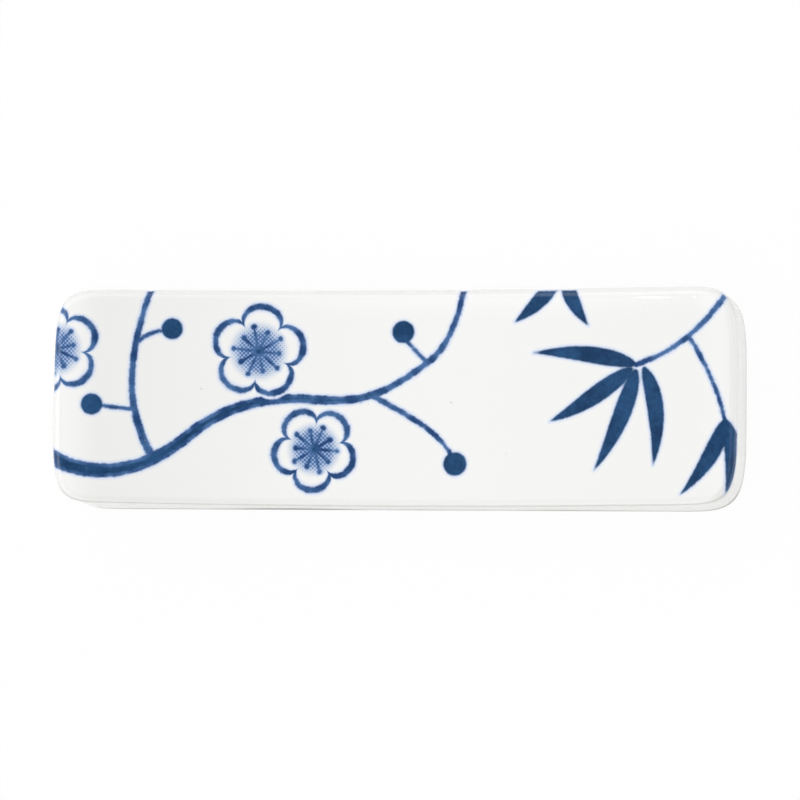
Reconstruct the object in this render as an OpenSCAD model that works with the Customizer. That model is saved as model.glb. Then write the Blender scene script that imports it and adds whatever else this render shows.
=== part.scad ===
// Chopstick rest: a glazed porcelain slab with a dipped top, decorated with a plum and bamboo
// spray in cobalt. Each fired layer is its own solid: the clay slab, the clear glaze over its
// top and walls, the glaze in the recess below, and the cobalt strokes that stain the glaze.

/* [Slab] */
// Length over the glaze, at the foot
rest_length = 62; // [52:0.5:76]
// Width over the glaze, at the foot
rest_width = 19.7; // [18:0.1:26]
// Height of the two raised ends
end_height = 7.9; // [7:0.1:11]
// Depth of the dip that the chopsticks lie in
saddle_depth = 3.5; // [1.5:0.1:4]
// Reach of an upright corner along the length
corner_length = 6.9; // [5:0.1:9]
// Width of the straight stretch in the middle of each end
end_flat_width = 0.6; // [0.4:0.1:3]
// Fullness of an upright corner: 2 is a plain ellipse, more is squarer
corner_fullness = 5; // [4:0.1:6]
// Radius of the shoulder between the walls and the top
shoulder_radius = 0.85; // [0.7:0.05:1.2]
// Lean of the walls, which draw in towards the top, in degrees
wall_lean = 2; // [0.5:0.5:6]

/* [Underside] */
// Width of the bare rim that the slab stands on
foot_rim_width = 2.4; // [1.8:0.1:3.5]
// Depth of the recess inside the rim, in the clay
recess_depth = 1.7; // [1.6:0.1:2.2]
// Reach of the recess's corners
recess_corner = 3.5; // [2.5:0.1:5]
// Fullness of the recess's corners
recess_fullness = 3; // [2:0.1:4]
// Radius where the recess's wall meets its ceiling
recess_fillet = 0.5; // [0.35:0.05:0.6]
// Bevel along both edges of the rim
foot_bevel = 0.3; // [0.1:0.05:0.35]

/* [Glaze] */
// Thickness of the fired glaze
glaze_thickness = 0.3; // [0.2:0.05:0.45]
// Height above the table at which the glaze begins
glaze_stop = 0.45; // [0.4:0.05:0.6]
// Height over which the glaze swells to its full thickness
glaze_bead = 0.25; // [0.15:0.05:0.3]

/* [Print] */
// Width of a drawn line
line_width = 0.5; // [0.35:0.05:0.65]
// Width of a bamboo leaf at its widest
leaf_width = 1.5; // [1:0.1:1.9]
// Radius of a plum bud
bud_radius = 1; // [0.7:0.1:1.3]
// White left between a blossom and the branch behind it
blossom_gap = 0.25; // [0.15:0.05:0.4]
// White left between the print and the shoulder
print_margin = 0.15; // [0.1:0.05:0.5]

/* [Hidden] */

half_length = rest_length / 2;
half_width = rest_width / 2;
corner_steps = 9;
side_steps = 24;
shoulder_steps = 4;
fillet_steps = 3;
stroke_steps = 10;
leaf_steps = 10;
petal_steps = 8;
petals = 5;
lean_slope = tan(wall_lean);

porcelain_colour = [0.93, 0.92, 0.89];
glaze_colour = [0.97, 0.97, 0.96];
line_colour = [0.18, 0.34, 0.54];
fill_colour = [0.11, 0.25, 0.44];
wash_colour = [0.45, 0.58, 0.78];

// How far in from the outline the shoulder ends and the flat of the top begins, at full height.
shoulder_inset = shoulder_radius + (end_height - shoulder_radius - glaze_stop) * lean_slope;

// Height of the finished top at a place along the length. The flat has full height at its ends.
saddle_reach = half_length - shoulder_inset;
function top_height(x) = end_height - saddle_depth * (1 - pow(x / saddle_reach, 2));

// A quarter of a corner: its place and its outward direction, from the end wall to the long side.
function corner_point(reach_x, reach_y, fullness, turn) =
    [reach_x * pow(cos(turn), 2 / fullness), reach_y * pow(sin(turn), 2 / fullness)];
function unit(v) = v / norm(v);
function corner_normal(reach_x, reach_y, fullness, turn) =
    unit([pow(cos(turn), 2 - 2 / fullness) / reach_x, pow(sin(turn), 2 - 2 / fullness) / reach_y]);

// The back half of an outline, from its left end to its right end, as [x, y, normal x, normal y].
function outline_stations(half_x, half_y, reach_x, reach_y, fullness) =
    let (corner_x = half_x - reach_x, corner_y = half_y - reach_y)
    concat(
        [for (i = [0 : corner_steps])
            let (turn = 90 * i / corner_steps,
                 p = corner_point(reach_x, reach_y, fullness, turn),
                 n = corner_normal(reach_x, reach_y, fullness, turn))
            [-corner_x - p[0], corner_y + p[1], -n[0], n[1]]],
        [for (i = [1 : side_steps - 1])
            [corner_x * (2 * i / side_steps - 1), half_y, 0, 1]],
        [for (i = [corner_steps : -1 : 0])
            let (turn = 90 * i / corner_steps,
                 p = corner_point(reach_x, reach_y, fullness, turn),
                 n = corner_normal(reach_x, reach_y, fullness, turn))
            [corner_x + p[0], corner_y + p[1], n[0], n[1]]]);

// A closed ring from insets and heights that are given station by station.
function mirrored(back) =
    concat(back, [for (i = [len(back) - 1 : -1 : 0]) [back[i][0], -back[i][1], back[i][2]]]);
function ring(stations, insets, heights) =
    mirrored([for (i = [0 : len(stations) - 1])
        let (s = stations[i])
        [s[0] - insets[i] * s[2], s[1] - insets[i] * s[3], heights[i]]]);
function level_ring(stations, inset, height) =
    ring(stations, [for (s = stations) inset], [for (s = stations) height]);

// Rings of a wall that leans in from the outline, at a depth below the finished surface.
function wall_inset(height, depth) =
    (height - glaze_stop - glaze_bead) * lean_slope + depth / cos(wall_lean);
function wall_ring(stations, height, depth) =
    level_ring(stations, wall_inset(height, depth), height);

// The shoulder: an arc round one centre for every depth, so the layers stay parallel.
function shoulder_rings(stations, depth) =
    let (tops = [for (s = stations) top_height(s[0] - shoulder_inset * s[2])],
         centre_heights = [for (t = tops) t - shoulder_radius],
         centre_insets = [for (h = centre_heights) wall_inset(h, shoulder_radius)],
         arc_radius = shoulder_radius - depth)
    [for (k = [0 : shoulder_steps])
        let (turn = wall_lean + (90 - wall_lean) * k / shoulder_steps)
        ring(stations,
             [for (c = centre_insets) c - arc_radius * cos(turn)],
             [for (h = centre_heights) h + arc_radius * sin(turn)])];

// A solid through a list of rings, closed by strips across its first ring and its last one.
module lofted(rings) {
    count = len(rings[0]);
    half = count / 2;
    last = (len(rings) - 1) * count;
    polyhedron(
        points = [for (r = rings) each r],
        faces = concat(
            [for (i = [0 : half - 2]) each [
                [count - 1 - i, count - 2 - i, i + 1],
                [count - 1 - i, i + 1, i]]],
            [for (r = [0 : len(rings) - 2]) for (i = [0 : count - 1])
                let (a = r * count + i, b = r * count + (i + 1) % count)
                each [[a, b, b + count], [a, b + count, a + count]]],
            [for (i = [0 : half - 2]) each [
                [last + i, last + i + 1, last + count - 2 - i],
                [last + i, last + count - 2 - i, last + count - 1 - i]]]));
}

slab_stations =
    outline_stations(half_length, half_width, corner_length, half_width - end_flat_width / 2,
                     corner_fullness);
recess_stations =
    outline_stations(half_length - foot_rim_width, half_width - foot_rim_width,
                     recess_corner, recess_corner, recess_fullness);

// The rounded corner of the recess at a depth below its clay, from its ceiling to its wall.
function recess_rings(depth) =
    let (ceiling = recess_depth - depth, radius = recess_fillet - depth / 2,
         wall = foot_bevel + depth)
    [for (k = [0 : fillet_steps])
        let (turn = 90 * k / fillet_steps)
        level_ring(recess_stations, wall + radius * (1 - sin(turn)),
                   ceiling - radius * (1 - cos(turn)))];

module porcelain_body() {
    color(porcelain_colour)
        lofted(concat(
            recess_rings(0),
            [level_ring(recess_stations, foot_bevel, glaze_stop),
             level_ring(recess_stations, foot_bevel, foot_bevel),
             level_ring(recess_stations, 0, 0),
             level_ring(slab_stations, wall_inset(foot_bevel, glaze_thickness) + foot_bevel, 0),
             wall_ring(slab_stations, foot_bevel, glaze_thickness),
             wall_ring(slab_stations, glaze_stop, glaze_thickness)],
            shoulder_rings(slab_stations, glaze_thickness)));
}

// The outer side of a glaze edge: a rounded bead that rises from the clay to full thickness.
bead_turns = [30, 60, 90];

module glaze_coat() {
    inner = shoulder_rings(slab_stations, glaze_thickness);
    color(glaze_colour)
        difference() {
            lofted(concat(
                [for (k = [shoulder_steps : -1 : 0]) inner[k]],
                [wall_ring(slab_stations, glaze_stop, glaze_thickness)],
                [for (turn = bead_turns)
                    let (height = glaze_stop + glaze_bead * (1 - cos(turn)),
                         depth = glaze_thickness * (1 - sin(turn)))
                    level_ring(slab_stations, wall_inset(height, depth), height)],
                shoulder_rings(slab_stations, 0)));
            print_prism() printed_area();
        }
}

module recess_glaze() {
    outer = recess_rings(glaze_thickness);
    inner = recess_rings(0);
    color(glaze_colour)
        lofted(concat(
            outer,
            [for (turn = [bead_turns[2], bead_turns[1], bead_turns[0]])
                let (height = glaze_stop + glaze_bead * (1 - cos(turn)))
                level_ring(recess_stations, foot_bevel + glaze_thickness * sin(turn), height)],
            [level_ring(recess_stations, foot_bevel, glaze_stop)],
            [for (k = [fillet_steps : -1 : 0]) inner[k]]));
}

// The printed spray. Places are shares of half the length and half the width, from the middle.
// A stroke is its start, two pulls and its end, and its widths at the start, middle and end as
// multiples of the line width.
branch_shares = [
    [[-1.04, -0.46], [-0.90, -0.80], [-0.74, -0.74], [-0.60, -0.36], [3, 2.5, 2]],
    [[-0.60, -0.36], [-0.50, -0.08], [-0.38, 0.02], [-0.22, -0.02], [2.1, 1.6, 1.6]],
    [[-0.22, -0.02], [-0.08, -0.06], [0, 0.10], [0.10, 0.34], [1.6, 1.1, 1.2]],
    [[0.10, 0.34], [0.16, 0.50], [0.19, 0.78], [0.20, 1.10], [1.2, 1, 0.9]],
    [[-0.71, -0.50], [-0.76, -0.18], [-0.80, 0.20], [-0.70, 1.10], [1.5, 1.1, 1]],
    [[-0.07, 0.02], [0.04, -0.16], [0.12, -0.30], [0.16, -0.50], [1.1, 0.84, 0.8]],
    [[-0.765, -0.12], [-0.79, -0.11], [-0.82, -0.10], [-0.85, -0.09], [0.8, 0.72, 0.68]],
    [[0.09, 0.32], [0.07, 0.38], [0.05, 0.45], [0.03, 0.52], [0.8, 0.72, 0.68]],
    [[-0.745, 0.50], [-0.73, 0.55], [-0.71, 0.58], [-0.68, 0.60], [0.8, 0.72, 0.68]]];
stem_shares = [
    [[0.99, 1.10], [0.93, 0.70], [0.84, 0.42], [0.70, 0.28], [1.1, 1, 0.84]],
    [[0.85, 0.52], [0.91, 0.24], [0.945, -0.05], [0.955, -0.25], [0.84, 0.72, 0.6]]];
// A leaf is its stalk end, two pulls and its tip, and its width as a share of the leaf width.
leaf_shares = [
    [[0.70, 0.28], [0.62, 0.36], [0.52, 0.42], [0.40, 0.40], 1],
    [[0.69, 0.25], [0.62, 0.10], [0.54, -0.10], [0.45, -0.22], 1.06],
    [[0.70, 0.24], [0.68, -0.02], [0.64, -0.36], [0.58, -0.66], 1.06],
    [[0.72, 0.26], [0.76, 0.02], [0.77, -0.30], [0.75, -0.62], 1],
    [[0.955, -0.22], [0.94, -0.42], [0.90, -0.66], [0.83, -0.88], 0.96],
    [[0.955, -0.22], [0.985, -0.44], [0.985, -0.70], [0.955, -1], 0.94],
    [[0.47, 1.08], [0.44, 0.94], [0.40, 0.80], [0.345, 0.68], 0.94],
    [[0.49, 1.08], [0.50, 0.94], [0.52, 0.80], [0.56, 0.64], 0.88]];
// A blossom is its centre, its radius as a share of half the width, and its turn in degrees.
blossom_shares = [
    [-0.40, 0.42, 0.44, 12],
    [-0.235, -0.47, 0.40, 50],
    [-0.985, 0.42, 0.42, 30]];
// A bud is its centre and its size as a share of the bud radius.
bud_shares = [
    [0.175, -0.60, 1.05], [-0.875, -0.08, 0.95], [0.02, 0.60, 1], [-0.65, 0.62, 0.95]];

// Shares of a blossom's radius: the notch between petals, the wash, and two lengths of stamen.
notch_share = 0.7;
wash_share = 0.62;
stamen_shares = [0.52, 0.42];
// Multiples of the line width: the eye of a blossom, a stamen and the dot at its end.
eye_share = 1.1;
stamen_width_share = 0.44;
anther_share = 0.48;
// The power that rounds a petal, and the one that rounds a leaf and places its widest part.
petal_power_share = 0.55;
leaf_power_share = 0.8;
leaf_middle_share = 0.75;

function placed(p) = [p[0] * half_length, p[1] * half_width];
function pulled(c, t) =
    pow(1 - t, 3) * placed(c[0]) + 3 * pow(1 - t, 2) * t * placed(c[1])
    + 3 * (1 - t) * t * t * placed(c[2]) + pow(t, 3) * placed(c[3]);
function heading(c, t) =
    unit(pow(1 - t, 2) * (placed(c[1]) - placed(c[0]))
         + 2 * (1 - t) * t * (placed(c[2]) - placed(c[1]))
         + t * t * (placed(c[3]) - placed(c[2])));
function beside(c, t, offset) = let (d = heading(c, t)) pulled(c, t) + offset * [-d[1], d[0]];
function round_end(c, t, radius, turns) =
    [for (turn = turns)
        let (d = heading(c, t))
        pulled(c, t) + radius * (cos(turn) * d + sin(turn) * [-d[1], d[0]])];
function stroke_half_width(w, t) =
    line_width / 2 * (pow(1 - t, 2) * w[0] + 2 * (1 - t) * t * w[1] + t * t * w[2]);
function leaf_half_width(w, t) =
    leaf_width / 2 * w * pow(sin(180 * pow(t, leaf_middle_share)), leaf_power_share);

module brush_stroke(c) {
    steps = [for (i = [0 : stroke_steps]) i / stroke_steps];
    polygon(concat(
        [for (t = steps) beside(c, t, stroke_half_width(c[4], t))],
        round_end(c, 1, stroke_half_width(c[4], 1), [60, 30, 0, -30, -60]),
        [for (i = [stroke_steps : -1 : 0])
            beside(c, steps[i], -stroke_half_width(c[4], steps[i]))],
        round_end(c, 0, stroke_half_width(c[4], 0), [-120, -150, 180, 150, 120])));
}

module bamboo_leaf(c) {
    polygon(concat(
        [for (i = [0 : leaf_steps])
            let (t = i / leaf_steps) beside(c, t, i % leaf_steps == 0 ? 0 : leaf_half_width(c[4], t))],
        [for (i = [leaf_steps - 1 : -1 : 1])
            let (t = i / leaf_steps) beside(c, t, -leaf_half_width(c[4], t))]));
}

// The petals' outline, grown by a spare width.
module petals_area(b, spare) {
    radius = half_width * b[2];
    translate(placed(b))
        polygon([for (i = [0 : petals * petal_steps - 1])
            let (turn = 360 * i / (petals * petal_steps),
                 bulge = pow(abs(cos(turn * petals / 2)), petal_power_share),
                 reach = radius * (notch_share + (1 - notch_share) * bulge) + spare)
            reach * [cos(turn + b[3]), sin(turn + b[3])]]);
}

module stamens_area(b) {
    translate(placed(b)) {
        circle(r = line_width * eye_share, $fn = 24);
        for (i = [0 : 2 * petals - 1])
            rotate(b[3] + 180 / petals * (i + 0.5)) {
                reach = half_width * b[2] * stamen_shares[i % 2];
                translate([0, -line_width * stamen_width_share / 2])
                    square([reach, line_width * stamen_width_share]);
                translate([reach, 0]) circle(r = line_width * anther_share, $fn = 16);
            }
    }
}

module branch_area() {
    difference() {
        for (c = branch_shares) brush_stroke(c);
        for (b = blossom_shares) petals_area(b, blossom_gap);
        bud_area();
    }
}

module blossom_area() {
    for (b = blossom_shares) {
        difference() {
            petals_area(b, 0);
            petals_area(b, -line_width);
        }
        stamens_area(b);
    }
}

module wash_area() {
    for (b = blossom_shares)
        difference() {
            translate(placed(b)) circle(r = half_width * b[2] * wash_share, $fn = 48);
            stamens_area(b);
        }
}

module bud_area() {
    for (b = bud_shares) translate(placed(b)) circle(r = bud_radius * b[2], $fn = 32);
}

module leaf_area() {
    for (c = leaf_shares) bamboo_leaf(c);
}

module stem_area() {
    difference() {
        for (c = stem_shares) brush_stroke(c);
        leaf_area();
    }
}

module printed_area() {
    branch_area();
    blossom_area();
    wash_area();
    bud_area();
    stem_area();
    leaf_area();
}

top_ring = shoulder_rings(slab_stations, 0)[shoulder_steps];
field_ring = [for (i = [0 : len(slab_stations) - 1])
    let (s = slab_stations[i], top = top_ring[i])
    [top[0] - print_margin * s[2], top[1] - print_margin * s[3], top[2]]];

// An upright prism over a printed shape, cropped where the flat of the top ends.
module print_prism() {
    translate([0, 0, glaze_stop])
        linear_extrude(height = end_height)
            intersection() {
                children();
                polygon([for (p = mirrored(field_ring)) [p[0], p[1]]]);
            }
}

// The layer of glaze over the whole top, between the same facets as the glaze coat.
module top_layer() {
    surface = [for (i = [0 : len(slab_stations) - 1]) top_ring[i]];
    rotate([90, 0, 0])
        linear_extrude(height = rest_width, center = true)
            polygon(concat(
                [for (p = surface) [p[0], p[2]]],
                [for (i = [len(surface) - 1 : -1 : 0])
                    [surface[i][0], surface[i][2] - glaze_thickness]]));
}

module cobalt_layer() {
    intersection() {
        top_layer();
        print_prism() children();
    }
}

module plum_branch_print() {
    color(line_colour) cobalt_layer() branch_area();
}

module plum_blossom_print() {
    color(line_colour) cobalt_layer() blossom_area();
}

module blossom_wash_print() {
    color(wash_colour) cobalt_layer() wash_area();
}

module plum_bud_print() {
    color(fill_colour) cobalt_layer() bud_area();
}

module bamboo_stem_print() {
    color(line_colour) cobalt_layer() stem_area();
}

module bamboo_leaf_print() {
    color(fill_colour) cobalt_layer() leaf_area();
}

porcelain_body();
glaze_coat();
recess_glaze();
plum_branch_print();
plum_blossom_print();
blossom_wash_print();
plum_bud_print();
bamboo_stem_print();
bamboo_leaf_print();
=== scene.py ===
import math
import bpy
import numpy as np
from mathutils import Matrix, Vector


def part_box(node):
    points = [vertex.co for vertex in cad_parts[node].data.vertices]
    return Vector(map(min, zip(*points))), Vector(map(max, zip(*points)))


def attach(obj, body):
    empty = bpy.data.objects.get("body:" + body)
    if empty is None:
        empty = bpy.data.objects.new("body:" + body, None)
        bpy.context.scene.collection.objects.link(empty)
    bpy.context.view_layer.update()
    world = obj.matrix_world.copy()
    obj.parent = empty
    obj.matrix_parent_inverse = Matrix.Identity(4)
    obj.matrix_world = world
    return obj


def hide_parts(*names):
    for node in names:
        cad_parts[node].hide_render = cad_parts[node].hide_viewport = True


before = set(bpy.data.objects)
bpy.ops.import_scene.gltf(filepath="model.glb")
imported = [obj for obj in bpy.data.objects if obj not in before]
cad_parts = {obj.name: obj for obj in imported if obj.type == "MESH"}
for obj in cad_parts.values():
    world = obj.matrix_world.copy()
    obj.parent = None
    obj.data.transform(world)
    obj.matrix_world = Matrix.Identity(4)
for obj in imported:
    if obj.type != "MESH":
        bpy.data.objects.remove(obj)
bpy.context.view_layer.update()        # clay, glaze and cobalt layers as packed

mm = 0.001               # shapes are worked out in millimetres
coatLow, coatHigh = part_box("glaze_coat")
halfLength = (coatHigh.x - coatLow.x) / 2 / mm
halfWidth = (coatHigh.y - coatLow.y) / 2 / mm
endHeight = coatHigh.z / mm
print("frame loaded,", len(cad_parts), "nodes")

# Camera almost straight above, a little to the right and to the front
view = {
    "place": Vector((52.2, -25.9, 320.0)) * mm,
    "aim": Vector((0.33, -0.16, 4.0)) * mm,
    "roll": math.radians(0.73),
    "lens": 161.8,
    "sensor": 36.0,
    "clip": (0.01, 20.0),     # nearest and farthest, in metres
}


def placeCamera():
    back = (view["place"] - view["aim"]).normalized()
    side = Vector((0, 1, 0)).cross(back).normalized()
    right = math.cos(view["roll"]) * side + math.sin(view["roll"]) * back.cross(side)
    lens = bpy.data.cameras.new("camera")
    lens.lens = view["lens"]
    lens.sensor_width = view["sensor"]
    lens.clip_start, lens.clip_end = view["clip"]
    camera = bpy.data.objects.new("camera", lens)
    camera.matrix_world = (Matrix.Translation(view["place"])
                           @ Matrix((right, back.cross(right), back)).transposed().to_4x4())
    bpy.context.scene.collection.objects.link(camera)
    bpy.context.scene.camera = camera


placeCamera()
print("camera placed")

# The pressed slab that every layer follows
slab = {
    "dip": 3.7,               # how far the top sinks from where its curve would end
    "rise": 0.2,              # how far that lies over the end height
    "rollReach": 3.2,         # the ends roll off over this length
    "rollDrop": 0.42,
    "cornerLength": 6.9,      # reach of a corner along the length
    "endFlat": 0.6,           # straight stretch in the middle of an end
    "fullness": 5.0,          # 2 is an ellipse, more is squarer
    "shoulder": 0.95,         # radius between wall and top
    "frontTrim": 0.6,         # less of it along the front, where the edge is crisper
    "softReach": 0.6,         # glaze smooths the top over this width before the shoulder
    "softTilt": math.radians(6),      # and meets the shoulder at this slope
    "lean": math.radians(2),  # walls draw in towards the top
    "glaze": 0.3,             # thickness
    "glazeStop": 0.45,        # bare clay below this height
    "glazeBead": 0.25,        # height of the rounded glaze edge
}
foot = {
    "rim": 2.4,               # width of the ring that the rest stands on
    "recess": 1.7,            # depth of the hollow inside it
    "reach": 3.5,             # of the hollow's corners
    "fullness": 3.0,
    "fillet": 0.5,            # between the hollow's wall and its ceiling
    "bevel": 0.3,             # both edges of the rim
}
slope = math.tan(slab["lean"])
# From the outline in to the upper edge of the shoulder, at the ends
shoulderInset = slab["shoulder"] + (endHeight - slab["shoulder"] - slab["glazeStop"]) * slope
# The smoothed top meets the shoulder this much lower
softDrop = slab["softReach"] * math.tan(slab["softTilt"]) / 2


# The dip fades with the square of the way out to the ends, and the roll grows with the square
# of the way into the last stretch
def topHeight(x):
    crest = halfLength - shoulderInset
    into = np.clip((np.abs(x) - crest) / slab["rollReach"] + 1, 0, 1)
    return (endHeight + slab["rise"] - slab["dip"] * (1 - (x / crest) ** 2)
            - slab["rollDrop"] * into ** 2)


# Way in from the outline: the slope of the wall times the height over the glaze edge, plus the
# depth of the layer, which is measured square to the wall
def wallInset(height, depth):
    overEdge = height - slab["glazeStop"] - slab["glazeBead"]
    return overEdge * slope + depth / math.cos(slab["lean"])


# Walks round a rectangle and bends its corners: p becomes p (1 - q^n / 2)^(1/n), and q the same
# with p, so the walk lands on p^n + q^n = 1. Gives the places and the directions outwards.
def outlineOf(halfX, halfY, reachX, reachY, fullness, grid):
    gx = np.linspace(-halfX, halfX, grid["columns"] + 1)
    gy = np.linspace(-halfY, halfY, grid["rows"] + 1)
    ends = np.full(grid["rows"], halfX)
    sides = np.full(grid["columns"], halfY)
    x = np.concatenate([gx[:-1], ends, gx[:0:-1], -ends])
    y = np.concatenate([-sides, gy[:-1], sides, gy[:0:-1]])
    p = np.maximum(np.abs(x) - halfX + reachX, 0) / reachX
    q = np.maximum(np.abs(y) - halfY + reachY, 0) / reachY
    bentP = p * (1 - q ** fullness / 2) ** (1 / fullness)
    bentQ = q * (1 - p ** fullness / 2) ** (1 / fullness)
    place = np.stack([np.sign(x) * (np.minimum(np.abs(x), halfX - reachX) + reachX * bentP),
                      np.sign(y) * (np.minimum(np.abs(y), halfY - reachY) + reachY * bentQ)], 1)
    away = np.stack([np.sign(x) * bentP ** (fullness - 1) / reachX,
                     np.sign(y) * bentQ ** (fullness - 1) / reachY], 1)
    return place, away / np.linalg.norm(away, axis=1, keepdims=True)


def slabOutline(grid):
    return outlineOf(halfLength, halfWidth, slab["cornerLength"], halfWidth - slab["endFlat"] / 2,
                     slab["fullness"], grid)


def recessOutline(grid):
    return outlineOf(halfLength - foot["rim"], halfWidth - foot["rim"], foot["reach"],
                     foot["reach"], foot["fullness"], grid)


# Outline places moved inwards by the inset, at a height
def ringAt(outline, inset, height):
    place, away = outline
    inset = np.broadcast_to(inset, len(place))
    return np.column_stack([place - away * inset[:, None], np.broadcast_to(height, len(place))])


def ringsBetween(first, last, count):
    return [first + (last - first) * k / (count + 1) for k in range(1, count + 1)]


# Radius of the shoulder where the outline faces away: the front trim comes off it, times the
# fourth power of the share by which that is to the front
def shoulderRadius(away):
    return slab["shoulder"] - slab["frontTrim"] * np.clip(-away[:, 1], 0, 1) ** 4


# Height of the middle of the shoulder's arc, so that its upper end lies one drop under the top
def arcCentre(x, radius):
    return topHeight(x) - softDrop - radius * math.cos(slab["softTilt"])


# An arc of the shoulder radius less the depth, from the lean of the wall to the soft slope
def shoulderRings(outline, depth, steps):
    place, away = outline
    radius = shoulderRadius(away)
    centre = arcCentre(place[:, 0] - shoulderInset * away[:, 0], radius)
    inset = wallInset(centre, radius)
    arc = radius - depth
    return [ringAt(outline, inset - arc * math.cos(turn), centre + arc * math.sin(turn))
            for turn in np.linspace(slab["lean"], math.pi / 2 - slab["softTilt"], steps + 1)]


# Way in from the outline, up to the search width, and the number of its nearest place. Spots
# that are farther in from the sides and from the ends keep the search width.
def nearestEdge(spots, outline, search=3.0):
    endStretch = 10           # millimetres, past the corners' reach
    batches = 40              # spare memory
    place, away = outline
    inset = np.full(len(spots), search)
    nearest = np.zeros(len(spots), int)
    edge = np.flatnonzero((np.abs(spots[:, 0]) > halfLength - endStretch)
                          | (np.abs(spots[:, 1]) > halfWidth - search))
    for part in np.array_split(edge, batches):
        gap = spots[part, None, :] - place[None]
        nearest[part] = np.argmin(np.einsum("ijk,ijk->ij", gap, gap), axis=1)
        closest = gap[np.arange(len(part)), nearest[part]]
        inset[part] = np.minimum(-np.einsum("ij,ij->i", closest, away[nearest[part]]), search)
    return inset, nearest


# Height of the top's patch: the drop fades with the square of the share of the soft width left
def softTop(outline, depth):
    def height(spots):
        top = topHeight(spots[:, 0])
        inset, nearest = nearestEdge(spots, outline)
        radius = shoulderRadius(outline[1][nearest])
        arc = radius - depth
        centre = arcCentre(spots[:, 0], radius)
        start = wallInset(centre, radius) - arc * math.sin(slab["softTilt"])
        left = 1 - np.clip((inset - start) / slab["softReach"], 0, 1)
        return top - depth - (top - depth - centre - arc * math.cos(slab["softTilt"])) * left ** 2
    return height


# The glaze edge: a quarter turn from the clay out to the full thickness, rising by the bead
def beadRings(outline, steps):
    rings = []
    for turn in np.linspace(0, math.pi / 2, steps + 1):
        height = slab["glazeStop"] + slab["glazeBead"] * (1 - math.cos(turn))
        inset = wallInset(height, slab["glaze"] * (1 - math.sin(turn)))
        rings.append(ringAt(outline, inset, height))
    return rings


# Fills a ring from its four sides: both straight blends added, less the blend of the corners
def coonsPatch(ring, grid):
    columns, rows = grid["columns"], grid["rows"]
    front = ring[:columns + 1]
    right = ring[columns:columns + rows + 1]
    back = ring[columns + rows:2 * columns + rows + 1][::-1]
    left = np.vstack([ring[2 * columns + rows:], ring[:1]])[::-1]
    u = np.linspace(0, 1, columns + 1)[:, None, None]
    v = np.linspace(0, 1, rows + 1)[None, :, None]
    blends = (1 - v) * front[:, None] + v * back[:, None] + (1 - u) * left[None] + u * right[None]
    corners = ((1 - u) * ((1 - v) * front[0] + v * back[0])
               + u * ((1 - v) * front[-1] + v * back[-1]))
    return blends - corners


# Vertex numbers of a patch, and of its edge in the order of the outline
def patchNumbers(grid, start):
    index = start + np.arange((grid["columns"] + 1) * (grid["rows"] + 1))
    index = index.reshape(grid["columns"] + 1, grid["rows"] + 1)
    walk = np.concatenate([index[:-1, 0], index[-1, :-1], index[:0:-1, -1], index[0, :0:-1]])
    return index, walk


def patchFaces(index):
    corners = [index[:-1, :-1], index[1:, :-1], index[1:, 1:], index[:-1, 1:]]
    return np.stack(corners, -1).reshape(-1, 4)


# Bands of faces from ring to ring, closed by a patch under the first and over the last.
# The first ring may have fewer places than the second, and fans join them.
def loftedPiece(name, rings, floorGrid, floorHeight, topGrid, heightOfTop):
    patches, faces, walks, count = [], [], [], 0
    for k, ring in enumerate(rings):
        edge = {0: (floorGrid, floorHeight), len(rings) - 1: (topGrid, heightOfTop)}.get(k)
        if edge:
            grid, height = edge
            patch = coonsPatch(ring, grid).reshape(-1, 3)
            patch[:, 2] = height(patch[:, :2])
            index, walk = patchNumbers(grid, count)
            faces += (patchFaces(index) if k else patchFaces(index)[:, ::-1]).tolist()
        else:
            patch, walk = ring, np.arange(len(ring)) + count
        patches.append(patch)
        walks.append(walk)
        count += len(patch)
    for low, high in zip(walks[:-1], walks[1:]):
        fan = len(high) // len(low)
        if fan == 1:
            faces += np.stack([low, np.roll(low, -1), np.roll(high, -1), high], -1).tolist()
        else:
            faces += np.stack([np.repeat(low, fan), np.roll(high, -1), high], -1).tolist()
            faces += np.stack([low, np.roll(low, -1), np.roll(high, -fan)[::fan]], -1).tolist()
    places = np.vstack(patches)
    mesh = bpy.data.meshes.new(name)
    mesh.from_pydata((places * mm).tolist(), [], faces)
    mesh.polygons.foreach_set("use_smooth", np.ones(len(mesh.polygons), bool))
    mesh.update()
    piece = bpy.data.objects.new(name, mesh)
    bpy.context.scene.collection.objects.link(piece)
    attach(piece, "root")
    print(name, "made,", len(mesh.polygons), "faces")
    return piece, places


def keepOnVertices(piece, name, values):
    layer = piece.data.attributes.new(name, "FLOAT", "POINT")
    layer.data.foreach_set("value", np.asarray(values, np.float32))


# Shader helpers. A wire is an output socket that can be added, multiplied and so on.
class Wire:
    def __init__(self, tree, socket):
        self.tree, self.socket = tree, socket

    def math(self, operation, *others):
        inputs = dict(enumerate((self, *others)))
        node = addNode(self.tree, "ShaderNodeMath", inputs, operation=operation)
        return Wire(self.tree, node.outputs[0])

    def __add__(self, other):
        return self.math("ADD", other)

    def __sub__(self, other):
        return self.math("SUBTRACT", other)

    def __mul__(self, other):
        return self.math("MULTIPLY", other)

    def __pow__(self, other):
        return self.math("POWER", other)

    def __neg__(self):
        return self.math("MULTIPLY", -1.0)

    def __abs__(self):
        return self.math("ABSOLUTE")


def addNode(tree, kind, inputs, **settings):
    node = tree.nodes.new(kind)
    for key, value in settings.items():
        setattr(node, key, value)
    for socket, value in inputs.items():
        if isinstance(value, Wire):
            tree.links.new(value.socket, node.inputs[socket])
        else:
            node.inputs[socket].default_value = value
    return node


def least(wire, *others):
    for other in others:
        wire = wire.math("MINIMUM", other)
    return wire


def most(wire, *others):
    for other in others:
        wire = wire.math("MAXIMUM", other)
    return wire


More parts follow.
